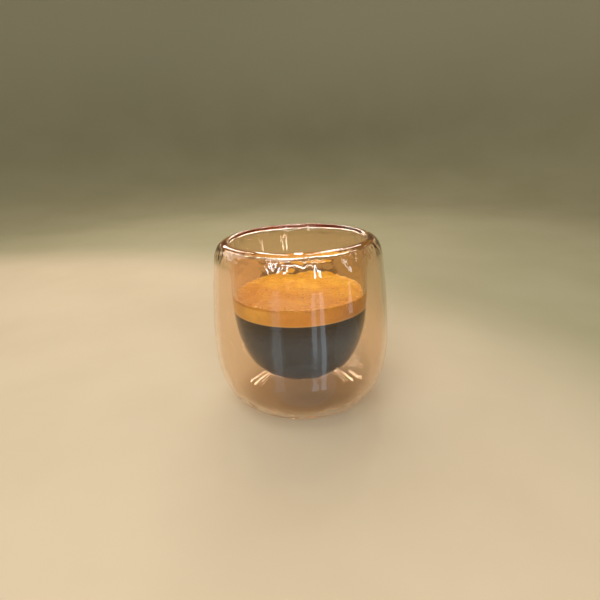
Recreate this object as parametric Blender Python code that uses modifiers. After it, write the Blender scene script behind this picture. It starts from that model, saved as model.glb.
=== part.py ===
"""Espresso in a double-walled glass.

The glass is one blown piece. A round-bottomed bowl hangs inside a barrel-shaped
outer wall, the two are fused at a thin rounded lip, and the air space between
them ends in a small vent in the base, closed by a plug. The drink is two layers:
dark coffee in the bottom of the bowl, and a thick crema on top of it.

Metres, +Z up. The origin is the centre of the base, on the surface that the
glass stands on, and +Z is the axis of every turned shape.
"""

from math import cos, pi, radians, sin

import bpy

# ---- driving dimensions --------------------------------------------------

HEIGHT = 0.0624            # base to the top of the lip
WALL = 0.0014              # thickness of both walls

BELT_RADIUS = 0.0325       # widest ring of the outer wall
BELT_HEIGHT = 0.0265
SHOULDER_RADIUS = 0.0304   # where the straight taper turns in towards the lip
SHOULDER_HEIGHT = 0.0552
BASE_RADIUS = 0.0170       # flat spot that the glass stands on

LIP_RADIUS = 0.00080       # half the thickness of the rounded lip
LIP_RING_RADIUS = 0.0254   # from the axis to the middle of the lip
LIP_BLEND_ANGLE = radians(78)   # where the lip's round runs into the outer wall
FUSE_DEPTH = 0.0014        # solid glass between the top of the lip and the air space

BOWL_RADIUS = 0.02496      # outside of the bowl, at its full width
BOWL_SHOULDER = 0.0480     # height at which the bowl reaches that width
BOWL_BOTTOM = 0.0108       # underside of the bowl
BOWL_SQUARENESS = (3.6, 2.6)    # how square its curve is, sideways and upwards

VENT_RADIUS = 0.0015
PLUG_RECESS = 0.0002       # the plug stops this short of the base
GAP = 0.0003               # clearance between pieces that touch

COFFEE_LEVEL = 0.0371      # where the coffee ends and the crema begins
CREMA_LEVEL = 0.0426       # top of the crema, in its middle
CREMA_CLIMB = 0.0004       # how far the crema rises at the wall

TURN_STEPS = 48            # sides of every turned shape

# ---- finishes: colour, roughness, transmission ---------------------------

FINISHES = {
    "clear_glass": ((0.93, 0.88, 0.80), 0.02, 1.0),
    "clear_silicone": ((0.85, 0.83, 0.78), 0.35, 0.6),
    "dark_coffee": ((0.022, 0.011, 0.005), 0.06, 0.0),
    "golden_crema": ((0.80, 0.36, 0.07), 0.45, 0.0),
}


# ---- curves in the profile plane, as (radius, height) --------------------

def arc(centre, radius, start, end, steps):
    """Points of a circular arc, its angles measured from the radius direction."""
    angles = [start + (end - start) * i / steps for i in range(steps + 1)]
    return [(centre[0] + radius * cos(a), centre[1] + radius * sin(a)) for a in angles]


def bezier(start, start_handle, end_handle, end, steps):
    """Points of a cubic curve through its two ends, pulled by its two handles."""
    points = []
    for i in range(steps + 1):
        t = i / steps
        weights = ((1 - t) ** 3, 3 * (1 - t) ** 2 * t, 3 * (1 - t) * t ** 2, t ** 3)
        corners = (start, start_handle, end_handle, end)
        points.append(tuple(sum(w * c[k] for w, c in zip(weights, corners)) for k in (0, 1)))
    return points


def squared_curve(radius, bottom, top, squareness, steps):
    """Quarter of a squared-off ellipse, from the axis at the bottom up to its full radius."""
    sideways, upwards = squareness
    points = []
    for i in range(steps + 1):
        turn = pi / 2 * i / steps
        drop = (top - bottom) * abs(cos(turn)) ** (2 / upwards)
        points.append((radius * sin(turn) ** (2 / sideways), top - drop))
    return points


def offset(points, distance):
    """The same line, moved sideways to the right of its direction of travel."""
    moved = []
    last = len(points) - 1
    for i, (x, z) in enumerate(points):
        before = points[max(i - 1, 0)]
        after = points[min(i + 1, last)]
        run, rise = after[0] - before[0], after[1] - before[1]
        length = (run ** 2 + rise ** 2) ** 0.5
        moved.append((x + distance * rise / length, z - distance * run / length))
    return moved


def radius_at(points, height):
    """Radius of a rising line at one height."""
    for (x0, z0), (x1, z1) in zip(points, points[1:]):
        if z0 <= height <= z1:
            return x0 + (x1 - x0) * (height - z0) / (z1 - z0)
    raise ValueError("the line doesn't reach that height")


# ---- lines of the glass --------------------------------------------------

def bowl_inside():
    """Inside of the bowl, from the axis up to the inner edge of the lip."""
    underside = squared_curve(BOWL_RADIUS, BOWL_BOTTOM, BOWL_SHOULDER, BOWL_SQUARENESS, 14)
    hollow = offset(underside, -WALL)
    hollow[0] = (0.0, BOWL_BOTTOM + WALL)
    shoulder = hollow[-1]
    lip_edge = (LIP_RING_RADIUS - LIP_RADIUS, HEIGHT - LIP_RADIUS)
    third = (lip_edge[1] - shoulder[1]) / 3
    flare = bezier(shoulder, (shoulder[0], shoulder[1] + third),
                   (lip_edge[0], lip_edge[1] - third), lip_edge, 4)
    return hollow + flare[1:]


def lip():
    """Over the lip, from its inner edge to where the outer wall takes over."""
    centre = (LIP_RING_RADIUS, HEIGHT - LIP_RADIUS)
    return arc(centre, LIP_RADIUS, pi, LIP_BLEND_ANGLE, 6)


def outer_wall():
    """Outer wall, from the lip over the shoulder, down past the belt to the base."""
    lip_end = lip()[-1]
    shoulder = (SHOULDER_RADIUS, SHOULDER_HEIGHT)
    belt = (BELT_RADIUS, BELT_HEIGHT)
    base = (BASE_RADIUS, 0.0)
    crest = bezier(lip_end, (SHOULDER_RADIUS - 0.0018, HEIGHT - 0.0002),
                   (SHOULDER_RADIUS - 0.0004, SHOULDER_HEIGHT + 0.0034), shoulder, 8)
    taper = bezier(shoulder, (SHOULDER_RADIUS + 0.0010, SHOULDER_HEIGHT - 0.0090),
                   (BELT_RADIUS, BELT_HEIGHT + 0.0090), belt, 6)
    body = bezier(belt, (BELT_RADIUS, BELT_HEIGHT - 0.0170),
                  (BASE_RADIUS + 0.0110, 0.0014), base, 12)
    return crest + taper[1:] + body[1:]


def air_space():
    """From the vent up inside the outer wall, round under the lip, and down the bowl."""
    crown = HEIGHT - FUSE_DEPTH
    turn_start = crown - WALL
    floor = [(VENT_RADIUS, WALL), (BASE_RADIUS, WALL)]
    rising = [p for p in reversed(offset(outer_wall(), WALL)) if WALL < p[1] < turn_start]
    falling = [p for p in reversed(offset(bowl_inside(), WALL)) if p[1] < turn_start]
    falling[-1] = (0.0, BOWL_BOTTOM)
    outer_end, inner_start = rising[-1], falling[0]
    pull = crown + (crown - turn_start) / 3
    turn = bezier(outer_end, (outer_end[0] - 0.0006, pull),
                  (inner_start[0], pull), inner_start, 8)
    return floor + rising + turn[1:-1] + falling


# ---- profiles, each from the axis back to the axis -----------------------

def glass_profile():
    """The whole glass: bowl, lip, outer wall, vent, and back round the air space."""
    vent_mouth = [(VENT_RADIUS, 0.0)]
    return bowl_inside() + lip()[1:] + outer_wall()[1:] + vent_mouth + air_space()


def coffee_profile():
    """Flat-topped coffee that fills the bottom of the bowl, from its top down."""
    wall = bowl_inside()
    rim = (radius_at(wall, COFFEE_LEVEL) - GAP, COFFEE_LEVEL)
    belly = offset([p for p in wall if p[1] < COFFEE_LEVEL - 0.001], -GAP)
    belly[0] = (0.0, wall[0][1] + GAP)
    return [(0.0, COFFEE_LEVEL), rim] + belly[::-1]


def crema_profile():
    """Crema on the coffee, its top rising a little where it clings to the wall."""
    wall = bowl_inside()
    floor = COFFEE_LEVEL + GAP
    edge = CREMA_LEVEL + CREMA_CLIMB
    heights = [edge + (floor - edge) * i / 3 for i in range(4)]
    side = [(radius_at(wall, z) - GAP, z) for z in heights]
    shares = (0.0, 0.45, 0.75, 0.88, 0.96)
    top = [(side[0][0] * share, CREMA_LEVEL + CREMA_CLIMB * share ** 12) for share in shares]
    return top + side + [(0.0, floor)]


def plug_profile():
    """Plug in the vent, with a small chamfer at its top."""
    radius = VENT_RADIUS - GAP
    top = WALL + GAP
    chamfer = 0.0003
    return [(0.0, top), (radius - chamfer, top), (radius, top - chamfer),
            (radius, PLUG_RECESS), (0.0, PLUG_RECESS)]


# ---- making --------------------------------------------------------------

def finish(slot):
    """Principled material of one finish."""
    colour, roughness, transmission = FINISHES[slot]
    material = bpy.data.materials.new(slot)
    material.use_nodes = True
    shader = material.node_tree.nodes["Principled BSDF"]
    shader.inputs["Base Color"].default_value = (*colour, 1.0)
    shader.inputs["Roughness"].default_value = roughness
    shader.inputs["Metallic"].default_value = 0.0
    shader.inputs["Transmission Weight"].default_value = transmission
    return material


def turned(name, profile, slot, collection):
    """A closed piece: a profile from axis to axis, turned about +Z."""
    mesh = bpy.data.meshes.new(name)
    edges = [(i, i + 1) for i in range(len(profile) - 1)]
    mesh.from_pydata([(x, 0.0, z) for x, z in profile], edges, [])
    mesh.materials.append(finish(slot))
    piece = bpy.data.objects.new(name, mesh)
    collection.objects.link(piece)
    screw = piece.modifiers.new("Turn", "SCREW")
    screw.axis = "Z"
    screw.angle = 2 * pi
    screw.steps = TURN_STEPS
    screw.render_steps = TURN_STEPS
    screw.use_merge_vertices = True
    screw.merge_threshold = 0.00001
    screw.use_smooth_shade = True
    return piece


def clear_scene():
    """Remove every object of the open file."""
    for old in list(bpy.data.objects):
        bpy.data.objects.remove(old, do_unlink=True)


def main():
    clear_scene()
    collection = bpy.data.collections.new("espresso_glass")
    bpy.context.scene.collection.children.link(collection)
    turned("glass", glass_profile(), "clear_glass", collection)
    turned("vent_plug", plug_profile(), "clear_silicone", collection)
    turned("coffee", coffee_profile(), "dark_coffee", collection)
    turned("crema", crema_profile(), "golden_crema", collection)


main()
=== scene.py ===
"""Looks of an espresso in a double-walled glass: blown glass, coffee, crema and a pale studio."""

from math import cos, hypot, pi, radians, sin, sqrt
from random import Random

import bmesh
import bpy
from mathutils import Matrix, Vector, noise


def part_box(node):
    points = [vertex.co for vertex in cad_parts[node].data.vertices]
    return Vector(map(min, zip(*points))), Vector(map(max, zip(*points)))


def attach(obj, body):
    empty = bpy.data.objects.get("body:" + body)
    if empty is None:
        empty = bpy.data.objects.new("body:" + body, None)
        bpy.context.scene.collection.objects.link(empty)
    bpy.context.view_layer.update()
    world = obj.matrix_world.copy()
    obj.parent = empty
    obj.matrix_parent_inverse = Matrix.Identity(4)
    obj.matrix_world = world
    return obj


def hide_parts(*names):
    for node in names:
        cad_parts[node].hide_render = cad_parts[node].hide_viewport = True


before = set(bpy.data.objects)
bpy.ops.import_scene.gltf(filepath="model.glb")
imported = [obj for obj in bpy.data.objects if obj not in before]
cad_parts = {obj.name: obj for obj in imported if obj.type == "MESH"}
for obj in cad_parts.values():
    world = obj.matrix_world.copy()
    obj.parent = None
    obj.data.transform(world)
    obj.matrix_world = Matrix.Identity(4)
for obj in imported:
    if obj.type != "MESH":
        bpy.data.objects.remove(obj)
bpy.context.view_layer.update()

MM = 0.001

# ---- sizes, in metres, the large ones read from the frame -----------------

glass_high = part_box("glass")[1]
coffee_low, coffee_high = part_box("coffee")
crema_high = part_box("crema")[1]

HEIGHT = glass_high[2]
BELT_RADIUS = glass_high[0]
BELT_HEIGHT = 26.5 * MM
SHOULDER_RADIUS = 30.4 * MM
SHOULDER_HEIGHT = 55.2 * MM
BASE_RADIUS = 17.0 * MM
BASE_RINGS = (0.3, 0.6, 0.8)    # rings across the flat base, as shares of its radius
WALL = 1.4 * MM

# the two pull points of each part of the outer wall, from the lip down to the base
CREST_PULL = ((SHOULDER_RADIUS - 1.8 * MM, HEIGHT - 0.2 * MM),
              (SHOULDER_RADIUS - 0.4 * MM, SHOULDER_HEIGHT + 3.4 * MM))
TAPER_PULL = ((SHOULDER_RADIUS + 1.0 * MM, SHOULDER_HEIGHT - 9 * MM),
              (BELT_RADIUS, BELT_HEIGHT + 9 * MM))
BODY_PULL = ((BELT_RADIUS, BELT_HEIGHT - 17 * MM),
             (BASE_RADIUS + 11 * MM, 1.4 * MM))
CREST_STEPS = 20
TAPER_STEPS = 14
BODY_STEPS = 30

LIP_RADIUS = 0.80 * MM
LIP_RING_RADIUS = 25.4 * MM
LIP_BLEND_ANGLE = radians(78)
LIP_STEPS = 14
FUSE_DEPTH = 1.4 * MM           # solid glass under the lip, above the hollow
FUSE_LEAN = 0.6 * MM
FUSE_STEPS = 16

BOWL_RADIUS = 24.96 * MM
BOWL_SHOULDER = 48.0 * MM
BOWL_CLEARANCE = 0.3 * MM       # between the coffee's solid and the bowl in the frame
BOWL_BOTTOM = coffee_low[2] - WALL - BOWL_CLEARANCE
BOWL_SQUARENESS = (3.6, 2.6)    # sideways, upwards; 2 would be a plain ellipse
BOWL_CROWDING = 1.35            # over 1 packs the steps together near the axis
BOWL_STEPS = 44
FLARE_STEPS = 12

REACH = 0.15 * MM               # how far the drink is sunk into the glass around it

DRINK_LINE = coffee_high[2]     # the coffee's top, and the underside of the crema
CREMA_CLIMB = 0.4 * MM
CREMA_TOP = crema_high[2] - CREMA_CLIMB
RESIDUE_RISE = 4.6 * MM         # how far dried coffee reaches up the wall over the crema

GLASS_SIDES = 288
DRINK_SIDES = 420
RESIDUE_SIDES = 240
STAGE_SIDES = 96


# ---- curves in the profile plane, as (radius, height) ---------------------

def arc(centre, radius, start, end, steps):
    angles = [start + (end - start) * i / steps for i in range(steps + 1)]
    return [(centre[0] + radius * cos(a), centre[1] + radius * sin(a)) for a in angles]


def bezier(start, start_pull, end_pull, end, steps):
    points = []
    for i in range(steps + 1):
        t = i / steps
        weights = ((1 - t) ** 3, 3 * (1 - t) ** 2 * t, 3 * (1 - t) * t ** 2, t ** 3)
        corners = (start, start_pull, end_pull, end)
        points.append(tuple(sum(w * c[k] for w, c in zip(weights, corners)) for k in (0, 1)))
    return points


def squared_curve(radius, bottom, top, squareness, steps):
    """Quarter of a squared-off ellipse, from the axis at the bottom up to its full radius."""
    sideways, upwards = squareness
    points = []
    for i in range(steps + 1):
        turn = pi / 2 * (i / steps) ** BOWL_CROWDING
        drop = (top - bottom) * abs(cos(turn)) ** (2 / upwards)
        points.append((radius * sin(turn) ** (2 / sideways), top - drop))
    return points


def offset(points, distance):
    """The same line, moved sideways to the right of its direction of travel."""
    moved = []
    last = len(points) - 1
    for i, (x, z) in enumerate(points):
        before, after = points[max(i - 1, 0)], points[min(i + 1, last)]
        run, rise = after[0] - before[0], after[1] - before[1]
        length = hypot(run, rise)
        moved.append((x + distance * rise / length, z - distance * run / length))
    return moved


def radius_at(points, height):
    """Radius of a rising line at one height."""
    for (x0, z0), (x1, z1) in zip(points, points[1:]):
        if z0 <= height <= z1:
            return x0 + (x1 - x0) * (height - z0) / (z1 - z0)
    raise ValueError("the line doesn't reach that height")


def smooth(low, high, value):
    """Soft step from 0 at low to 1 at high."""
    t = min(max((value - low) / (high - low), 0.0), 1.0)
    return t * t * (3 - 2 * t)


# ---- lines of the glass ----------------------------------------------------

def bowl_inside():
    underside = squared_curve(BOWL_RADIUS, BOWL_BOTTOM, BOWL_SHOULDER, BOWL_SQUARENESS, BOWL_STEPS)
    hollow = offset(underside, -WALL)
    hollow[0] = (0.0, BOWL_BOTTOM + WALL)
    shoulder = hollow[-1]
    lip_edge = (LIP_RING_RADIUS - LIP_RADIUS, HEIGHT - LIP_RADIUS)
    third = (lip_edge[1] - shoulder[1]) / 3
    flare = bezier(shoulder, (shoulder[0], shoulder[1] + third),
                   (lip_edge[0], lip_edge[1] - third), lip_edge, FLARE_STEPS)
    return hollow + flare[1:]


def lip():
    centre = (LIP_RING_RADIUS, HEIGHT - LIP_RADIUS)
    return arc(centre, LIP_RADIUS, pi, LIP_BLEND_ANGLE, LIP_STEPS)


def outer_wall():
    lip_end = lip()[-1]
    shoulder = (SHOULDER_RADIUS, SHOULDER_HEIGHT)
    belt = (BELT_RADIUS, BELT_HEIGHT)
    base = (BASE_RADIUS, 0.0)
    crest = bezier(lip_end, *CREST_PULL, shoulder, CREST_STEPS)
    taper = bezier(shoulder, *TAPER_PULL, belt, TAPER_STEPS)
    body = bezier(belt, *BODY_PULL, base, BODY_STEPS)
    return crest + taper[1:] + body[1:]


def air_space():
    """Outline of the sealed hollow: its floor, up the outer wall, over and down round the bowl."""
    crown = HEIGHT - FUSE_DEPTH
    turn_start = crown - WALL
    clear_of_floor = WALL * 1.02
    floor = [(0.0, WALL)] + [(BASE_RADIUS * share, WALL) for share in BASE_RINGS]
    rising = [p for p in reversed(offset(outer_wall(), WALL)) if clear_of_floor < p[1] < turn_start]
    falling = [p for p in reversed(offset(bowl_inside(), WALL)) if p[1] < turn_start]
    falling[-1] = (0.0, BOWL_BOTTOM)
    outer_end, inner_start = rising[-1], falling[0]
    pull = crown + (crown - turn_start) / 3
    turn = bezier(outer_end, (outer_end[0] - FUSE_LEAN, pull),
                  (inner_start[0], pull), inner_start, FUSE_STEPS)
    return floor + rising + turn[1:-1] + falling


def outer_shell():
    """Outline of the whole glass: up the bowl, over the lip, down the outside and in to the axis."""
    foot = [(BASE_RADIUS * share, 0.0) for share in BASE_RINGS[1::-1]] + [(0.0, 0.0)]
    return bowl_inside() + lip()[1:] + outer_wall()[1:] + foot


# ---- mesh helpers ----------------------------------------------------------

TOUCHING = 0.001 * MM


def spin_line(bm, profile, sides):
    """Add a profile line turned about +Z to the bmesh, its faces outwards; returns the faces."""
    before = set(bm.faces)
    line = [bm.verts.new((x, 0.0, z)) for x, z in profile]
    edges = [bm.edges.new(pair) for pair in zip(line, line[1:])]
    bmesh.ops.spin(bm, geom=line + edges, cent=(0, 0, 0), axis=(0, 0, 1), dvec=(0, 0, 0),
                   angle=2 * pi, steps=sides, use_merge=True, use_duplicate=False)
    bmesh.ops.remove_doubles(bm, verts=bm.verts, dist=TOUCHING)
    faces = [face for face in bm.faces if face not in before]
    bmesh.ops.recalc_face_normals(bm, faces=faces)
    return faces


def turned(profile, sides):
    """A bmesh of one profile line turned about +Z."""
    bm = bmesh.new()
    spin_line(bm, profile, sides)
    return bm


def settle(bm, name, material, sharp=None):
    """Make the bmesh an object of the scene, shaded smooth but for edges over the sharp angle."""
    mesh = bpy.data.meshes.new(name)
    bm.to_mesh(mesh)
    bm.free()
    mesh.shade_smooth()
    if sharp is not None:
        mesh.set_sharp_from_angle(angle=sharp)
    mesh.materials.append(material)
    piece = bpy.data.objects.new(name, mesh)
    bpy.context.scene.collection.objects.link(piece)
    return piece


# ---- shader helpers --------------------------------------------------------

def new_material(name):
    material = bpy.data.materials.new(name)
    material.use_nodes = True
    return material, material.node_tree, material.node_tree.nodes["Principled BSDF"]


def add(tree, kind, **values):
    """A new node; each value goes to the socket of that name, or else to the node's own setting."""
    node = tree.nodes.new(kind)
    for key, value in values.items():
        if key in node.inputs:
            node.inputs[key].default_value = value
        else:
            setattr(node, key, value)
    return node


def group(name, inputs, outputs):
    """An empty shader node group; sockets are (name, kind, default)."""
    tree = bpy.data.node_groups.new(name, "ShaderNodeTree")
    for label, kind, default in inputs:
        socket = tree.interface.new_socket(label, in_out="INPUT", socket_type=kind)
        socket.default_value = default
    for label, kind in outputs:
        tree.interface.new_socket(label, in_out="OUTPUT", socket_type=kind)
    return tree, tree.nodes.new("NodeGroupInput"), tree.nodes.new("NodeGroupOutput")


def place(tree, shared, **values):
    """One use of a shared effect."""
    return add(tree, "ShaderNodeGroup", node_tree=shared, **values)


def math(tree, operation, first, second=None):
    node = tree.nodes.new("ShaderNodeMath")
    node.operation = operation
    for socket, value in zip(node.inputs, (first, second)):
        if value is None:
            continue
        if isinstance(value, (int, float)):
            socket.default_value = value
        else:
            tree.links.new(value, socket)
    return node.outputs[0]


def blend(tree, share, low, high):
    """Colour mix; each of low and high is a colour or a socket."""
    node = tree.nodes.new("ShaderNodeMix")
    node.data_type = "RGBA"
    tree.links.new(share, node.inputs[0])
    for socket, value in ((node.inputs[6], low), (node.inputs[7], high)):
        if isinstance(value, tuple):
            socket.default_value = (*value, 1.0)
        else:
            tree.links.new(value, socket)
    return node.outputs[2]


def tinted(tree, colour, tint):
    """One colour multiplied by another."""
    mix = add(tree, "ShaderNodeMix", data_type="RGBA", blend_type="MULTIPLY")
    mix.inputs["Factor"].default_value = 1.0
    tree.links.new(colour, mix.inputs[6])
    tree.links.new(tint, mix.inputs[7])
    return mix.outputs[2]


def ramp(tree, value, low, high):
    """A value stretched so that low gives 0 and high gives 1, clamped."""
    node = tree.nodes.new("ShaderNodeMapRange")
    node.interpolation_type = "SMOOTHSTEP"
    tree.links.new(value, node.inputs["Value"])
    node.inputs["From Min"].default_value = low
    node.inputs["From Max"].default_value = high
    return node.outputs["Result"]


def noise_value(tree, vector, scale, detail=3.0, roughness=0.5):
    node = add(tree, "ShaderNodeTexNoise", Scale=scale, Detail=detail, Roughness=roughness)
    tree.links.new(vector, node.inputs["Vector"])
    return node.outputs["Fac"]


def place_on_object(tree):
    return tree.nodes.new("ShaderNodeTexCoord").outputs["Object"]


# ---- shared effects --------------------------------------------------------

MARBLING_BEND = 12 * MM
MARBLING_RANGE = (0.35, 0.68)
RIM_RANGE = (0.45, 0.8)         # distances from a bubble's middle, in cells


def marbling_group():
    """Slow streaks and clouds, as in poured foam."""
    tree, start, end = group("marbling", [("Vector", "NodeSocketVector", (0, 0, 0)),
                                          ("Scale", "NodeSocketFloat", 120.0)],
                             [("Mask", "NodeSocketFloat")])
    warp = add(tree, "ShaderNodeTexNoise", Detail=2.0)
    tree.links.new(start.outputs["Vector"], warp.inputs["Vector"])
    tree.links.new(start.outputs["Scale"], warp.inputs["Scale"])
    bend = add(tree, "ShaderNodeVectorMath", operation="MULTIPLY_ADD")
    tree.links.new(warp.outputs["Color"], bend.inputs[0])
    bend.inputs[1].default_value = (MARBLING_BEND, MARBLING_BEND, MARBLING_BEND)
    tree.links.new(start.outputs["Vector"], bend.inputs[2])
    streaks = add(tree, "ShaderNodeTexNoise", Detail=5.0, Roughness=0.55)
    tree.links.new(bend.outputs[0], streaks.inputs["Vector"])
    tree.links.new(start.outputs["Scale"], streaks.inputs["Scale"])
    tree.links.new(ramp(tree, streaks.outputs["Fac"], *MARBLING_RANGE), end.inputs["Mask"])
    return tree


def bubbles_group():
    """Fine closed bubbles: how high each point stands, and how dark the rims between are."""
    tree, start, end = group("fine_bubbles", [("Vector", "NodeSocketVector", (0, 0, 0)),
                                              ("Size", "NodeSocketFloat", 0.5 * MM)],
                             [("Height", "NodeSocketFloat"), ("Rims", "NodeSocketFloat")])
    scale = math(tree, "DIVIDE", 1.0, start.outputs["Size"])
    cells = add(tree, "ShaderNodeTexVoronoi", feature="F1")
    tree.links.new(start.outputs["Vector"], cells.inputs["Vector"])
    tree.links.new(scale, cells.inputs["Scale"])
    dome = math(tree, "SUBTRACT", 1.0, math(tree, "POWER", cells.outputs["Distance"], 2.0))
    tree.links.new(dome, end.inputs["Height"])
    tree.links.new(ramp(tree, cells.outputs["Distance"], *RIM_RANGE), end.inputs["Rims"])
    return tree


MARBLING = marbling_group()
FINE_BUBBLES = bubbles_group()


# ---- finishes --------------------------------------------------------------

GLASS_TINT = (0.970, 0.852, 0.722, 1.0)
GLASS_DEPTH_TINT = (0.84, 0.62, 0.36, 1.0)
GLASS_DEPTH_DENSITY = 36.0
GLASS_LIGHT_TINT = (0.860, 0.830, 0.800, 1.0)
GLASS_BEND = 1.40               # index of refraction
GLASS_RIPPLES = 70.0            # waves to the metre, as in every finish below
GLASS_RIPPLE_STRENGTH = 0.10
GLASS_RIPPLE_HEIGHT = 0.2 * MM


def glass_finish():
    """Clear blown glass with a warm cast that gathers where the wall is seen edge-on."""
    material, tree, shader = new_material("blown_glass")
    shader.inputs["Base Color"].default_value = GLASS_TINT
    shader.inputs["Roughness"].default_value = 0.0
    shader.inputs["IOR"].default_value = GLASS_BEND
    shader.inputs["Transmission Weight"].default_value = 1.0
    where = place_on_object(tree)
    ripple = add(tree, "ShaderNodeBump", Strength=GLASS_RIPPLE_STRENGTH,
                 Distance=GLASS_RIPPLE_HEIGHT)
    tree.links.new(noise_value(tree, where, GLASS_RIPPLES, 1.0), ripple.inputs["Height"])
    tree.links.new(ripple.outputs["Normal"], shader.inputs["Normal"])
    depth = add(tree, "ShaderNodeVolumeAbsorption", Density=GLASS_DEPTH_DENSITY)
    depth.inputs["Color"].default_value = GLASS_DEPTH_TINT
    output = tree.nodes["Material Output"]
    tree.links.new(depth.outputs["Volume"], output.inputs["Volume"])
    # light on its way to the drink and the floor passes straight through, a little dimmed
    clear = add(tree, "ShaderNodeBsdfTransparent")
    clear.inputs["Color"].default_value = GLASS_LIGHT_TINT
    path = add(tree, "ShaderNodeLightPath")
    seen = shader.outputs["BSDF"]
    for ray in ("Is Diffuse Ray", "Is Shadow Ray"):
        mix = add(tree, "ShaderNodeMixShader")
        tree.links.new(path.outputs[ray], mix.inputs[0])
        tree.links.new(seen, mix.inputs[1])
        tree.links.new(clear.outputs["BSDF"], mix.inputs[2])
        seen = mix.outputs["Shader"]
    tree.links.new(seen, output.inputs["Surface"])
    return material


COFFEE_TOP = (0.004, 0.0025, 0.0015)
# painted reflection: the slate blue-grey body stands for the pale room mirrored in the glass, over a
# little of the coffee's own cloudiness
COFFEE_BODY_AND_PAINTED_SHEEN = ((0.021, 0.040, 0.068), (0.036, 0.060, 0.098))    # between and in its clouds
COFFEE_PAINTED_SHEEN_FADE = 9.0 * MM
COFFEE_CLOUDS = 70.0
COFFEE_ROUGHNESS = 0.12
COFFEE_BEND = 1.15              # low, as there is no air between the coffee and its glass


def coffee_finish():
    """Near-black coffee with a painted reflection: darkest just under the crema, and a painted slate
    blue-grey sheen lower down over a little of the coffee's own cloudiness, with slow clouds.
    """
    material, tree, shader = new_material("espresso_coffee")
    where = place_on_object(tree)
    height = add(tree, "ShaderNodeSeparateXYZ")
    tree.links.new(where, height.inputs[0])
    clouds = place(tree, MARBLING, Scale=COFFEE_CLOUDS)
    tree.links.new(where, clouds.inputs["Vector"])
    body = blend(tree, clouds.outputs["Mask"], *COFFEE_BODY_AND_PAINTED_SHEEN)
    # painted sheen: from near-black under the crema down to the painted slate reflection lower on
    # the bowl
    painted_sheen_share = ramp(tree, height.outputs["Z"], DRINK_LINE, DRINK_LINE - COFFEE_PAINTED_SHEEN_FADE)
    tree.links.new(blend(tree, painted_sheen_share, COFFEE_TOP, body), shader.inputs["Base Color"])
    shader.inputs["Roughness"].default_value = COFFEE_ROUGHNESS
    shader.inputs["IOR"].default_value = COFFEE_BEND
    return material


FOAM_SWIRLS = 150.0
FOAM_BUBBLE = 0.42 * MM
FOAM_CELL = 1.1 * MM
FOAM_ROUGHNESS = (0.30, 0.52)           # in the middle of a cell and at its rim
FOAM_RELIEF = 0.06 * MM
FOAM_RELIEF_STRENGTH = 0.50
FOAM_SHINE = 0.22
FOAM_SOFTNESS = 0.25
FOAM_LIGHT_REACH = (0.9 * MM, 0.45 * MM, 0.15 * MM)

FOAM_FRONT = ((0.52, 0.215, 0.003), (0.63, 0.315, 0.008))       # between and in its swirls
FOAM_BACK = ((0.74, 0.38, 0.018), (0.90, 0.58, 0.050))
FOAM_SLANT = 0.35                       # the change from front to back leans to the right
FOAM_DRIFT = (-12.0 * MM, 15.0 * MM)
FOAM_TIRED = (0.40, 0.140, 0.010)       # browner patches
TIRED_WAVES = 260.0
TIRED_RANGE = (0.56, 0.70)
TIRED_STRENGTH = 0.45
FOAM_RIMS = (0.36, 0.125, 0.010)
RIMS_STRENGTH = 0.55

FROTH = (0.84, 0.58, 0.200)
FROTH_WAVES = 420.0
FROTH_RANGE = (0.44, 0.58)
FROTH_BAND = (2.6 * MM, 0.6 * MM)       # in from the wall, where it starts and is full
FROTH_BACK = (-6.0 * MM, 8.0 * MM)      # only the far side has it
FROTH_STRENGTH = 0.6

# painted light on the crema's side: paler on the left, where the light falls, and a painted cool
# sheen on the right
LEFT_PAINTED_LIGHT_SIDE = (0.80, 0.48, 0.078)
SIDE_MIDDLE = (0.60, 0.268, 0.013)
RIGHT_PAINTED_SHEEN_SIDE = (0.60, 0.285, 0.050)
LEFT_PAINTED_LIGHT_FADE = (-16.0 * MM, -3.0 * MM)
RIGHT_PAINTED_SHEEN_FADE = (3.0 * MM, 14.0 * MM)
SIDE_VEINS = ((0.85, 0.80, 0.70), (1.0, 1.0, 1.0))
MEETING_LINE = (0.72, 0.46, 0.200)      # paler foam low down, where it meets the coffee
MEETING_FADE = (0.45 * MM, 0.15 * MM)
MEETING_STRENGTH = 0.6
TOP_FADE = (0.9 * MM, 0.1 * MM)         # below the top, where the side's colours give way to it

# small dots on the foam: cells to the metre, radius in cells, patches, where they come, strength
# dark dots: painted shadows of tiny bubbles
PAINTED_SHADOW_DOTS = (640.0, 0.20, 160.0, (0.46, 0.58), 0.85)
PAINTED_SHADOW_DOT_COLOUR = (0.10, 0.030, 0.005)
# pale dots: painted glints on tiny bubbles
PAINTED_GLINT_DOTS = (560.0, 0.16, 210.0, (0.54, 0.62), 0.7)
PAINTED_GLINT_COLOUR = (0.95, 0.72, 0.300)


def dots(tree, where, cells, radius, patches, patch_range, strength):
    """Strength of round dots, one to a cell, inside soft patches only."""
    spots = add(tree, "ShaderNodeTexVoronoi", feature="F1", Scale=cells)
    tree.links.new(where, spots.inputs["Vector"])
    near = math(tree, "LESS_THAN", spots.outputs["Distance"], radius)
    patchy = ramp(tree, noise_value(tree, where, patches, 2.0), *patch_range)
    return math(tree, "MULTIPLY", math(tree, "MULTIPLY", near, patchy), strength)


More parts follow.
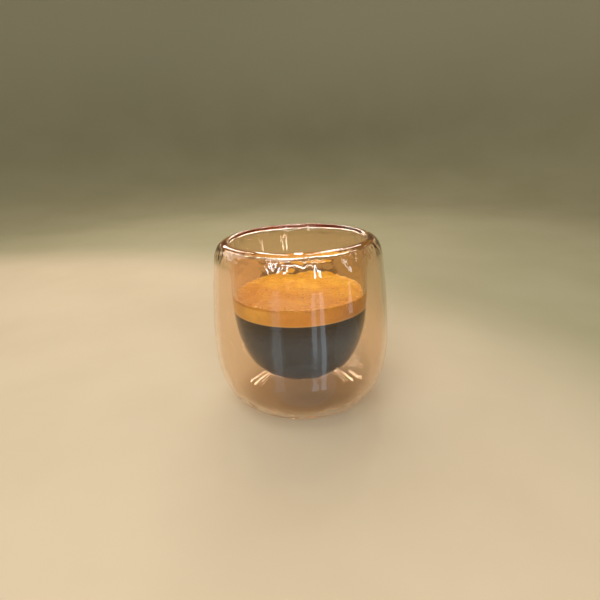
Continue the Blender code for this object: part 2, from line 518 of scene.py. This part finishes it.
def froth_share(tree, where, axes):
    """Where paler froth clings to the wall at the back."""
    flat = add(tree, "ShaderNodeCombineXYZ")
    tree.links.new(axes.outputs["X"], flat.inputs["X"])
    tree.links.new(axes.outputs["Y"], flat.inputs["Y"])
    spread = add(tree, "ShaderNodeVectorMath", operation="LENGTH")
    tree.links.new(flat.outputs[0], spread.inputs[0])
    edge = radius_at(bowl_inside(), CREMA_TOP)
    by_wall = ramp(tree, spread.outputs["Value"], edge - FROTH_BAND[0], edge - FROTH_BAND[1])
    scallop = ramp(tree, noise_value(tree, where, FROTH_WAVES), *FROTH_RANGE)
    far_side = ramp(tree, axes.outputs["Y"], *FROTH_BACK)
    froth = math(tree, "MULTIPLY", math(tree, "MULTIPLY", by_wall, scallop), far_side)
    return math(tree, "MULTIPLY", froth, FROTH_STRENGTH)


def foam_top(tree, where, axes, swirl, rims):
    """Colour of the crema's top: deeper in front, lighter behind, with rims, froth, and dots of
    painted bubble shadow and painted glint.
    """
    deep = blend(tree, swirl, *FOAM_FRONT)
    light = blend(tree, swirl, *FOAM_BACK)
    slant = math(tree, "MULTIPLY_ADD", axes.outputs["X"], FOAM_SLANT)
    tree.links.new(axes.outputs["Y"], slant.node.inputs[2])
    top = blend(tree, ramp(tree, slant, *FOAM_DRIFT), deep, light)
    tired = ramp(tree, noise_value(tree, where, TIRED_WAVES, 4.0), *TIRED_RANGE)
    top = blend(tree, math(tree, "MULTIPLY", tired, TIRED_STRENGTH), top, FOAM_TIRED)
    top = blend(tree, math(tree, "MULTIPLY", rims, RIMS_STRENGTH), top, FOAM_RIMS)
    top = blend(tree, froth_share(tree, where, axes), top, FROTH)
    # painted bubble shadows, then painted glints
    top = blend(tree, dots(tree, where, *PAINTED_SHADOW_DOTS), top, PAINTED_SHADOW_DOT_COLOUR)
    return blend(tree, dots(tree, where, *PAINTED_GLINT_DOTS), top, PAINTED_GLINT_COLOUR)


def foam_side(tree, axes, swirl):
    """Colour of the crema against the wall, with painted light: lightest on the left, where the
    light falls, and a painted cool sheen on the right.
    """
    # painted light from the left, then a painted cool sheen towards the right
    left = ramp(tree, axes.outputs["X"], *LEFT_PAINTED_LIGHT_FADE)
    side = blend(tree, left, LEFT_PAINTED_LIGHT_SIDE, SIDE_MIDDLE)
    right = ramp(tree, axes.outputs["X"], *RIGHT_PAINTED_SHEEN_FADE)
    side = blend(tree, right, side, RIGHT_PAINTED_SHEEN_SIDE)
    side = tinted(tree, side, blend(tree, swirl, *SIDE_VEINS))
    from_height, to_height = (DRINK_LINE + step for step in MEETING_FADE)
    low = ramp(tree, axes.outputs["Z"], from_height, to_height)
    return blend(tree, math(tree, "MULTIPLY", low, MEETING_STRENGTH), side, MEETING_LINE)


def crema_finish():
    """Golden foam: marbled, finely bubbled, with brown dots of painted bubble shadow and pale dots
    of painted glint, paler where it meets the coffee.
    """
    material, tree, shader = new_material("crema_foam")
    where = place_on_object(tree)
    axes = add(tree, "ShaderNodeSeparateXYZ")
    tree.links.new(where, axes.inputs[0])
    swirl = place(tree, MARBLING, Scale=FOAM_SWIRLS)
    fine = place(tree, FINE_BUBBLES, Size=FOAM_BUBBLE)
    coarse = place(tree, FINE_BUBBLES, Size=FOAM_CELL)
    for effect in (swirl, fine, coarse):
        tree.links.new(where, effect.inputs["Vector"])

    top = foam_top(tree, where, axes, swirl.outputs["Mask"], fine.outputs["Rims"])
    side = foam_side(tree, axes, swirl.outputs["Mask"])
    from_height, to_height = (CREMA_TOP - step for step in TOP_FADE)
    is_top = ramp(tree, axes.outputs["Z"], from_height, to_height)
    tree.links.new(blend(tree, is_top, side, top), shader.inputs["Base Color"])

    rough = add(tree, "ShaderNodeMapRange")
    tree.links.new(coarse.outputs["Rims"], rough.inputs["Value"])
    rough.inputs["To Min"].default_value = FOAM_ROUGHNESS[0]
    rough.inputs["To Max"].default_value = FOAM_ROUGHNESS[1]
    tree.links.new(rough.outputs["Result"], shader.inputs["Roughness"])
    relief = add(tree, "ShaderNodeBump", Strength=FOAM_RELIEF_STRENGTH, Distance=FOAM_RELIEF)
    tree.links.new(fine.outputs["Height"], relief.inputs["Height"])
    tree.links.new(relief.outputs["Normal"], shader.inputs["Normal"])
    shader.inputs["Specular IOR Level"].default_value = FOAM_SHINE
    shader.inputs["Subsurface Weight"].default_value = FOAM_SOFTNESS
    shader.inputs["Subsurface Radius"].default_value = FOAM_LIGHT_REACH
    shader.inputs["Subsurface Scale"].default_value = 1.0
    return material


BUBBLE_SKIN = ((0.80, 0.42, 0.10), (0.95, 0.66, 0.26))
SKIN_WAVES = 300.0
EVEN_RANGE = (0.35, 0.65)               # spreads a noise evenly between its two colours
SKIN_ROUGHNESS = 0.12
SKIN_COAT = 0.6
SKIN_COAT_ROUGHNESS = 0.05


def bubble_finish():
    """Thin shining skin of the larger bubbles."""
    material, tree, shader = new_material("bubble_skin")
    where = place_on_object(tree)
    cloud = ramp(tree, noise_value(tree, where, SKIN_WAVES), *EVEN_RANGE)
    colour = blend(tree, cloud, *BUBBLE_SKIN)
    tree.links.new(colour, shader.inputs["Base Color"])
    shader.inputs["Roughness"].default_value = SKIN_ROUGHNESS
    shader.inputs["Coat Weight"].default_value = SKIN_COAT
    shader.inputs["Coat Roughness"].default_value = SKIN_COAT_ROUGHNESS
    return material


RESIDUE_COLOURS = ((0.085, 0.055, 0.020), (0.22, 0.14, 0.05))
RESIDUE_CLOUDS = 330.0
RESIDUE_GRAIN = 1500.0
GRAIN_SHARE = 0.4
RESIDUE_BAR = (0.34, 0.57)              # how dense a blotch has to be, low and high in the film
RESIDUE_AWAY = (18.5 * MM, 14.5 * MM)   # only the back of the bowl has much of it
AWAY_STRENGTH = 0.5
RESIDUE_ROUGHNESS = 0.4
RESIDUE_EDGE = 0.06
RESIDUE_STRENGTH = 0.8


def residue_finish():
    """Thin olive-brown film of dried coffee, breaking into specks towards its top."""
    material, tree, shader = new_material("coffee_residue")
    where = place_on_object(tree)
    axes = add(tree, "ShaderNodeSeparateXYZ")
    tree.links.new(where, axes.inputs[0])
    cloud = noise_value(tree, where, RESIDUE_CLOUDS, 3.0, 0.6)
    grain = noise_value(tree, where, RESIDUE_GRAIN, 3.0, 0.6)
    blotch = math(tree, "ADD", math(tree, "MULTIPLY", cloud, 1.0 - GRAIN_SHARE),
                  math(tree, "MULTIPLY", grain, GRAIN_SHARE))
    colour = blend(tree, ramp(tree, grain, *EVEN_RANGE), *RESIDUE_COLOURS)
    tree.links.new(colour, shader.inputs["Base Color"])
    shader.inputs["Roughness"].default_value = RESIDUE_ROUGHNESS
    fade = add(tree, "ShaderNodeMapRange")
    tree.links.new(axes.outputs["Z"], fade.inputs["Value"])
    fade.inputs["From Min"].default_value = CREMA_TOP
    fade.inputs["From Max"].default_value = CREMA_TOP + RESIDUE_RISE
    fade.inputs["To Min"].default_value = RESIDUE_BAR[0]
    fade.inputs["To Max"].default_value = RESIDUE_BAR[1]
    aside = ramp(tree, axes.outputs["Y"], *RESIDUE_AWAY)
    bar = math(tree, "ADD", fade.outputs["Result"], math(tree, "MULTIPLY", aside, AWAY_STRENGTH))
    over = math(tree, "SUBTRACT", blotch, bar)
    cover = ramp(tree, over, 0.0, RESIDUE_EDGE)
    tree.links.new(math(tree, "MULTIPLY", cover, RESIDUE_STRENGTH), shader.inputs["Alpha"])
    return material


# ---- pieces ----------------------------------------------------------------

BODY_SWAY = 0.025 * MM          # how far the blown walls wander in and out
CROWN_SWAY = 0.24 * MM          # as much again under the lip, where the two walls were fused
FOOT_SWAY = 0.09 * MM           # and in the rounded foot
CROWN_START = 56.4 * MM
CROWN_FULL = 59.0 * MM
RIM_START = 60.8 * MM           # from here up to the top the sway dies out again
FOOT_FULL = 9.0 * MM
FOOT_END = 20.0 * MM
STEADY_BASE = 5.0 * MM          # from here down to the table the sway dies out too
SLOW_SWAY = 190.0               # waves to the metre
QUICK_SWAY = 600.0
QUICK_SHARE = 0.50
QUICK_SHIFT = Vector((4.0, 1.0, 8.0))
SWAY_SEED = 7                   # the same wandering in every run

CREASE = radians(50)            # sharper edges than this stay sharp in the shading
DRINK_CREASE = radians(60)


def glass_sway(spot):
    """How one place of the glass is off its turned shape; both walls sway together."""
    crown = smooth(CROWN_START, CROWN_FULL, spot.z) * (1.0 - smooth(RIM_START, HEIGHT, spot.z))
    foot = 1.0 - smooth(FOOT_FULL, FOOT_END, spot.z)
    amount = BODY_SWAY + CROWN_SWAY * crown + FOOT_SWAY * foot
    amount *= smooth(0.0, STEADY_BASE, spot.z)
    slow = noise.noise_vector(spot * SLOW_SWAY)
    quick = noise.noise_vector(spot * QUICK_SWAY + QUICK_SHIFT)
    return (slow + QUICK_SHARE * quick) * amount


def make_glass():
    """The blown body and the hollow sealed inside it, a little uneven as mouth-blown glass is."""
    noise.seed_set(SWAY_SEED)
    bm = bmesh.new()
    spin_line(bm, outer_shell(), GLASS_SIDES)
    inner_faces = spin_line(bm, air_space(), GLASS_SIDES)
    bmesh.ops.reverse_faces(bm, faces=inner_faces)
    for v in bm.verts:
        v.co += glass_sway(v.co)
    return settle(bm, "glass_vessel", glass_finish(), CREASE)


def make_coffee():
    """The coffee up to its level, following the bowl and reaching just into its wall."""
    wall = bowl_inside()
    below_rim = DRINK_LINE - 0.3 * MM
    rim = (radius_at(wall, DRINK_LINE) + REACH, DRINK_LINE)
    belly = offset([p for p in wall if p[1] < below_rim], REACH)
    belly[0] = (0.0, wall[0][1] - REACH)
    profile = [(0.0, DRINK_LINE), (rim[0] / 2, DRINK_LINE), rim] + belly[::-1]
    return settle(turned(profile, GLASS_SIDES), "coffee_body", coffee_finish(), CREASE)


CLING_WIDTH = 2.6 * MM          # the edge of the crema that climbs the wall
CLING_LEVEL = 0.75              # of the full climb, with lumps that add to it or take from it
CLING_LUMPS = 1.1
LUMPS_WAVES = 480.0             # waves to the metre, here and below
LUMPS_SHIFT = Vector((9.0, 2.0, 5.0))
DEEPEST_LUMP = -0.5
SWELL = 0.10 * MM
SWELL_WAVES = 110.0
RIPPLE = 0.035 * MM
RIPPLE_WAVES = 600.0
RIPPLE_SHIFT = Vector((3.1, 7.7, 0.0))
PIT_DEPTH = 0.09 * MM
PIT_CELLS = 620.0
PIT_BOTTOM = 0.10               # shares of a cell, from the pit's floor out to its brim
PIT_BRIM = 0.34
PITTED_WAVES = 140.0            # patches with pits and patches without
PITTED_FROM = 0.05
PITTED_FULL = 0.35
PITTED_SHIFT = Vector((0.0, 0.0, 4.0))


def crema_relief(x, y, edge_radius):
    """Height of the crema's top above its level at one place."""
    r = hypot(x, y)
    spot = Vector((x, y, 0.0))
    near_wall = smooth(edge_radius - CLING_WIDTH, edge_radius, r)
    swell = SWELL * noise.noise(spot * SWELL_WAVES)
    ripple = RIPPLE * noise.noise(spot * RIPPLE_WAVES + RIPPLE_SHIFT)
    lumps = noise.noise(spot * LUMPS_WAVES + LUMPS_SHIFT)
    climb = CREMA_CLIMB * near_wall ** 2 * (CLING_LEVEL + CLING_LUMPS * max(lumps, DEEPEST_LUMP))
    distances = noise.voronoi(spot * PIT_CELLS)[0]
    pitted = noise.noise(spot * PITTED_WAVES + PITTED_SHIFT)
    share = smooth(PITTED_FROM, PITTED_FULL, pitted)
    pits = -PIT_DEPTH * share * (1.0 - smooth(PIT_BOTTOM, PIT_BRIM, distances[0]))
    return swell + ripple + climb + pits


CREMA_RINGS = 90
CREMA_CROWDING = 0.85           # under 1 packs the rings together near the wall
CREMA_SIDE_STEPS = 10


def make_crema():
    """The foam layer: a turned disc whose top then gets its swell, pits and clinging edge."""
    wall = bowl_inside()
    edge = radius_at(wall, CREMA_TOP) + REACH
    rings = range(CREMA_RINGS + 1)
    top = [(edge * (i / CREMA_RINGS) ** CREMA_CROWDING, CREMA_TOP) for i in rings]
    thickness = DRINK_LINE - CREMA_TOP
    steps = range(1, CREMA_SIDE_STEPS + 1)
    heights = [CREMA_TOP + thickness * i / CREMA_SIDE_STEPS for i in steps]
    side = [(radius_at(wall, z) + REACH, z) for z in heights]
    bm = turned(top + side + [(0.0, DRINK_LINE)], DRINK_SIDES)
    for v in bm.verts:
        if v.co.z > CREMA_TOP - TOUCHING:
            v.co.z += crema_relief(v.co.x, v.co.y, edge)
    bmesh.ops.recalc_face_normals(bm, faces=bm.faces)
    return settle(bm, "crema_layer", crema_finish(), DRINK_CREASE)


BUBBLE_COUNT = 170
BUBBLE_SEED = 11
SMALLEST_BUBBLE = 0.16          # in mm, as are the range of sizes and the scatter
BUBBLE_RANGE = 0.34
BUBBLE_FINENESS = 2.2           # over 1 makes most of the bubbles small
WALL_SHARE = 0.82               # of the bubbles sit along the wall, the others out on the surface
WALL_SCATTER = 0.55
OPEN_MARGIN = 3 * MM            # the band by the wall that the others stay clear of
BUBBLE_TUCK = 0.7               # in bubble sizes: how far in from the wall,
BUBBLE_LIFT = 0.15              # how far up out of the foam
BUBBLE_FLATNESS = 0.75          # and how high for its width


def make_bubbles():
    """Larger foam bubbles, half sunk, thickest along the wall and a few out on the surface."""
    wall = bowl_inside()
    edge = radius_at(wall, CREMA_TOP)
    draw = Random(BUBBLE_SEED)
    bm = bmesh.new()
    for _ in range(BUBBLE_COUNT):
        size = (SMALLEST_BUBBLE + BUBBLE_RANGE * draw.random() ** BUBBLE_FINENESS) * MM
        turn = draw.uniform(0, 2 * pi)
        if draw.random() < WALL_SHARE:
            r = edge - size * BUBBLE_TUCK - abs(draw.gauss(0, WALL_SCATTER)) * MM
        else:
            r = (edge - OPEN_MARGIN) * sqrt(draw.random())
        x, y = r * cos(turn), r * sin(turn)
        z = CREMA_TOP + crema_relief(x, y, edge) + size * BUBBLE_LIFT
        shape = Matrix.Diagonal((size, size, size * BUBBLE_FLATNESS, 1.0))
        spot = Matrix.Translation((x, y, z)) @ shape
        bmesh.ops.create_icosphere(bm, subdivisions=1, radius=1.0, matrix=spot)
    return settle(bm, "crema_bubbles", bubble_finish())


RESIDUE_DIP = 0.2 * MM          # how far the film starts below the top of the crema
RESIDUE_GAP = 0.02 * MM
RESIDUE_THICKNESS = 0.06 * MM
RESIDUE_STEPS = 8


def make_residue():
    """Film on the inside of the bowl just above the crema, a thin band that follows the wall."""
    wall = bowl_inside()
    low = CREMA_TOP - RESIDUE_DIP
    high = CREMA_TOP + RESIDUE_RISE
    heights = [low + (high - low) * i / RESIDUE_STEPS for i in range(RESIDUE_STEPS + 1)]
    outer = [(radius_at(wall, z) - RESIDUE_GAP, z) for z in reversed(heights)]
    inner = [(x - RESIDUE_THICKNESS, z) for x, z in reversed(outer)]
    bm = turned(inner + outer + inner[:1], RESIDUE_SIDES)
    return settle(bm, "wall_residue", residue_finish(), DRINK_CREASE)


# ---- studio ----------------------------------------------------------------

# painted pool of light on the floor: pale sand round this point, darker olive further off as a
# painted falloff
PAINTED_POOL_CENTRE = (-0.25, -0.11, 0.0)
PAINTED_POOL_REACH = 0.32                       # distances from there: sand up to the first,
PAINTED_FALLOFF_REACH = 0.43                      # olive from the second on
FLOOR_DROP = 0.15 * MM                  # keeps the floor clear of the glass's base
FLOOR_FLAT = 0.50
SWEEP_BEND = 0.34
SWEEP_STEPS = 20
SWEEP_HEIGHT = 1.20
PAPER_CLOUDS = 14.0
PAPER_RANGE = (0.3, 0.7)
PAPER_ROUGHNESS = 0.85
SAND = ((0.395, 0.300, 0.190), (0.42, 0.322, 0.207))
# olive paper colour, darker than the sand as painted shade away from the light
OLIVE_AND_PAINTED_SHADE = ((0.235, 0.200, 0.105), (0.255, 0.218, 0.120))
OLIVE_RAISED = (0.38, 0.335, 0.215)     # lighter up the sweep
RAISED_HEIGHT = 0.35


def stage_finish():
    """Pale sand-coloured paper in a painted pool of light round a point to the front left, passing
    softly into darker olive further off, a painted falloff of the light from the left.
    """
    material, tree, shader = new_material("studio_paper")
    where = place_on_object(tree)
    axes = add(tree, "ShaderNodeSeparateXYZ")
    tree.links.new(where, axes.inputs[0])
    reach = add(tree, "ShaderNodeVectorMath", operation="DISTANCE")
    tree.links.new(where, reach.inputs[0])
    reach.inputs[1].default_value = PAINTED_POOL_CENTRE
    cloud = ramp(tree, noise_value(tree, where, PAPER_CLOUDS, 4.0), *PAPER_RANGE)
    near = blend(tree, cloud, *SAND)
    far = blend(tree, cloud, *OLIVE_AND_PAINTED_SHADE)
    raised = ramp(tree, axes.outputs["Z"], 0.0, RAISED_HEIGHT)
    far = blend(tree, raised, far, OLIVE_RAISED)
    # painted falloff: from the pale pool out to the darker olive
    away = ramp(tree, reach.outputs["Value"], PAINTED_POOL_REACH, PAINTED_FALLOFF_REACH)
    tree.links.new(blend(tree, away, near, far), shader.inputs["Base Color"])
    shader.inputs["Roughness"].default_value = PAPER_ROUGHNESS
    return material


def make_stage():
    """A round sweep: flat under the glass, curving up into a wall all round."""
    flat = [(r, -FLOOR_DROP) for r in (0.0, FLOOR_FLAT / 2, FLOOR_FLAT)]
    bend = arc((FLOOR_FLAT, SWEEP_BEND - FLOOR_DROP), SWEEP_BEND, -pi / 2, 0.0, SWEEP_STEPS)
    bm = turned(flat + bend[1:] + [(FLOOR_FLAT + SWEEP_BEND, SWEEP_HEIGHT)], STAGE_SIDES)
    bmesh.ops.reverse_faces(bm, faces=bm.faces)
    return settle(bm, "studio_sweep", stage_finish())


WARM = (1.0, 0.96, 0.90)
COOL = (0.74, 0.87, 1.0)
SKY = (0.62, 0.82, 1.0)
AIM = 0.03                              # height that most lights point at

# name, azimuth, elevation, distance, width, height, radiance, tint, height aimed at
SOFT_LIGHTS = (
    ("key_tube", -4, 36, 0.50, 0.34, 0.024, 35.0, WARM, AIM),
    ("top_soft", -35, 66, 0.55, 0.22, 0.22, 7.0, WARM, AIM),
    ("back_0", 160, 45, 0.55, 0.024, 0.30, 18.0, WARM, AIM),
    ("back_1", 170, 45, 0.55, 0.024, 0.30, 18.0, WARM, AIM),
    ("back_2", 180, 45, 0.55, 0.024, 0.30, 18.0, WARM, AIM),
    ("back_3", 190, 45, 0.55, 0.024, 0.30, 18.0, WARM, AIM),
    ("back_low", -156, 30, 0.55, 0.07, 0.22, 9.0, WARM, AIM),
    ("spark_left", -150, 48, 0.45, 0.014, 0.014, 160.0, WARM, AIM),
    ("spark_right", 158, 55, 0.45, 0.014, 0.014, 160.0, WARM, AIM),
    ("spark_front", -18, 58, 0.45, 0.012, 0.012, 200.0, COOL, AIM),
    ("back_left", -115, 35, 0.55, 0.34, 0.30, 3.0, WARM, AIM),
    ("panel_right_0", 20, 14, 0.50, 0.016, 0.34, 36.0, COOL, 0.08),
    ("panel_right_1", 27, 14, 0.50, 0.016, 0.34, 36.0, COOL, 0.08),
    ("panel_left_0", -39, 15, 0.50, 0.014, 0.24, 46.0, COOL, 0.125),
    ("panel_left_1", -29, 15, 0.50, 0.014, 0.24, 46.0, COOL, 0.125),
    ("panel_left_2", -19, 15, 0.50, 0.014, 0.24, 46.0, COOL, 0.125),
    ("panel_side", 68, 14, 0.50, 0.025, 0.34, 14.0, COOL, 0.08),
)

# name, angle round the outer wall, breadth at the wall, radiance
STREAKS = (
    ("streak_right_a", 7.9, 0.0022, 3.1),
    ("streak_right_b", 13.3, 0.0022, 3.5),
    ("streak_right_haze", 10.6, 0.0075, 0.7),
    ("streak_left", -15.3, 0.0040, 1.4),
    ("streak_left_haze", -15.3, 0.0065, 0.4),
)
STREAK_STEPS = (0.016, 0.030, 0.048, 0.072, 0.105, 0.150, 0.210, 0.290, 0.450)
STREAK_SPREAD = 0.85

# name, angle round the outer wall, near end, far end, width, radiance, shape
FLOOR_GLOWS = (
    ("streak_side", 32.6, 0.190, 0.450, 0.020, 3.0, "RECTANGLE"),
    ("haze_right", 29.6, 0.030, 0.260, 0.080, 0.34, "ELLIPSE"),
    ("base_haze", 1.0, 0.002, 0.056, 0.064, 0.40, "ELLIPSE"),
    ("base_haze_core", 2.0, 0.006, 0.040, 0.038, 0.40, "ELLIPSE"),
)
GLOW_LIFT = 0.5 * MM


def area_light(name, shape, width, height, radiance, tint):
    """A flat light that isn't seen itself."""
    light = bpy.data.lights.new(name, "AREA")
    light.shape = shape
    light.size, light.size_y = width, height
    light.energy = radiance * pi * width * height
    light.color = tint
    lamp = bpy.data.objects.new(name, light)
    bpy.context.scene.collection.objects.link(lamp)
    lamp.visible_camera = False
    return lamp


def soft_light(name, azimuth, elevation, distance, width, height, radiance, tint, aim):
    """A rectangular light; azimuth 0 is in front, on the side of -Y, and turns towards +X."""
    lamp = area_light(name, "RECTANGLE", width, height, radiance, tint)
    around, up = radians(azimuth), radians(elevation)
    away = Vector((sin(around) * cos(up), -cos(around) * cos(up), sin(up)))
    lamp.location = Vector((0.0, 0.0, aim)) + away * distance
    lamp.rotation_euler = away.to_track_quat("Z", "Y").to_euler()


def floor_glow(name, wall_angle, near, far, width, radiance, shape):
    """A light strip lying on the floor, seen only as a soft upright streak in the outer wall.

    It runs away from the wall along the line that the wall mirrors to the front."""
    lamp = area_light(name, shape, width, far - near, radiance, SKY)
    turn = radians(wall_angle)
    start = Vector((sin(turn), -cos(turn), 0.0)) * BELT_RADIUS
    along = Vector((sin(2.0 * turn), -cos(2.0 * turn), 0.0))
    lamp.location = start + along * (near + far) / 2.0 + Vector((0.0, 0.0, GLOW_LIFT))
    lamp.rotation_euler = (pi, 0.0, 2.0 * turn)
    lamp.visible_transmission = False


def streak(name, wall_angle, breadth, radiance):
    """Floor strips end to end, each wider than the last, so that the streak keeps its breadth."""
    for number, (near, far) in enumerate(zip(STREAK_STEPS, STREAK_STEPS[1:])):
        width = breadth * ((near + far + BELT_RADIUS) / BELT_RADIUS) ** STREAK_SPREAD
        floor_glow(f"{name}_{number}", wall_angle, near, far, width, radiance, "RECTANGLE")


def make_lights():
    """Soft lights round the glass, then the strips on the floor that its wall mirrors."""
    for row in SOFT_LIGHTS:
        soft_light(*row)
    for row in STREAKS:
        streak(*row)
    for row in FLOOR_GLOWS:
        floor_glow(*row)


AIR_TINT = (0.84, 0.88, 0.84, 1.0)
AIR_STRENGTH = 0.47


def make_world():
    world = bpy.data.worlds.new("studio_air")
    world.use_nodes = True
    back = world.node_tree.nodes["Background"]
    back.inputs["Color"].default_value = AIR_TINT
    back.inputs["Strength"].default_value = AIR_STRENGTH
    bpy.context.scene.world = world


CAMERA_BACK = 0.1700                    # from the glass's axis
CAMERA_HEIGHT = 0.0968
CAMERA_DOWN = radians(18.98)
CAMERA_ROLL = radians(2.46)
CAMERA_LENS = 28.78                     # both in mm
CAMERA_SENSOR = 36.0
CAMERA_NEAREST = 5 * MM


def make_camera():
    data = bpy.data.cameras.new("camera")
    data.sensor_width = CAMERA_SENSOR
    data.lens = CAMERA_LENS
    data.clip_start = CAMERA_NEAREST
    camera = bpy.data.objects.new("camera", data)
    bpy.context.scene.collection.objects.link(camera)
    tilt = Matrix.Rotation(pi / 2 - CAMERA_DOWN, 4, "X")
    roll = Matrix.Rotation(-CAMERA_ROLL, 4, "Z")
    camera.matrix_world = Matrix.Translation((0.0, -CAMERA_BACK, CAMERA_HEIGHT)) @ tilt @ roll
    bpy.context.scene.camera = camera


GLASS_BOUNCES = 72
CLEAR_BOUNCES = 24
BRIGHTEST_BOUNCE = 60.0


def set_light_paths():
    """Enough bounces for four glass walls one behind another, and true colours."""
    scene = bpy.context.scene
    scene.view_settings.view_transform = "Standard"
    scene.cycles.max_bounces = GLASS_BOUNCES
    scene.cycles.transmission_bounces = GLASS_BOUNCES
    scene.cycles.transparent_max_bounces = CLEAR_BOUNCES
    scene.cycles.glossy_bounces = GLASS_BOUNCES
    scene.cycles.sample_clamp_indirect = BRIGHTEST_BOUNCE


# ---- the scene -------------------------------------------------------------

def ride(piece, slot, *nodes):
    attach(piece, "root")
    if nodes:
        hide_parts(*nodes)


ride(make_glass(), "clear_glass", "glass", "vent_plug")
ride(make_coffee(), "dark_coffee", "coffee")
ride(make_crema(), "golden_crema", "crema")
ride(make_bubbles(), "golden_crema")
ride(make_residue(), "dark_coffee")
make_stage()
make_lights()
make_world()
make_camera()
set_light_paths()
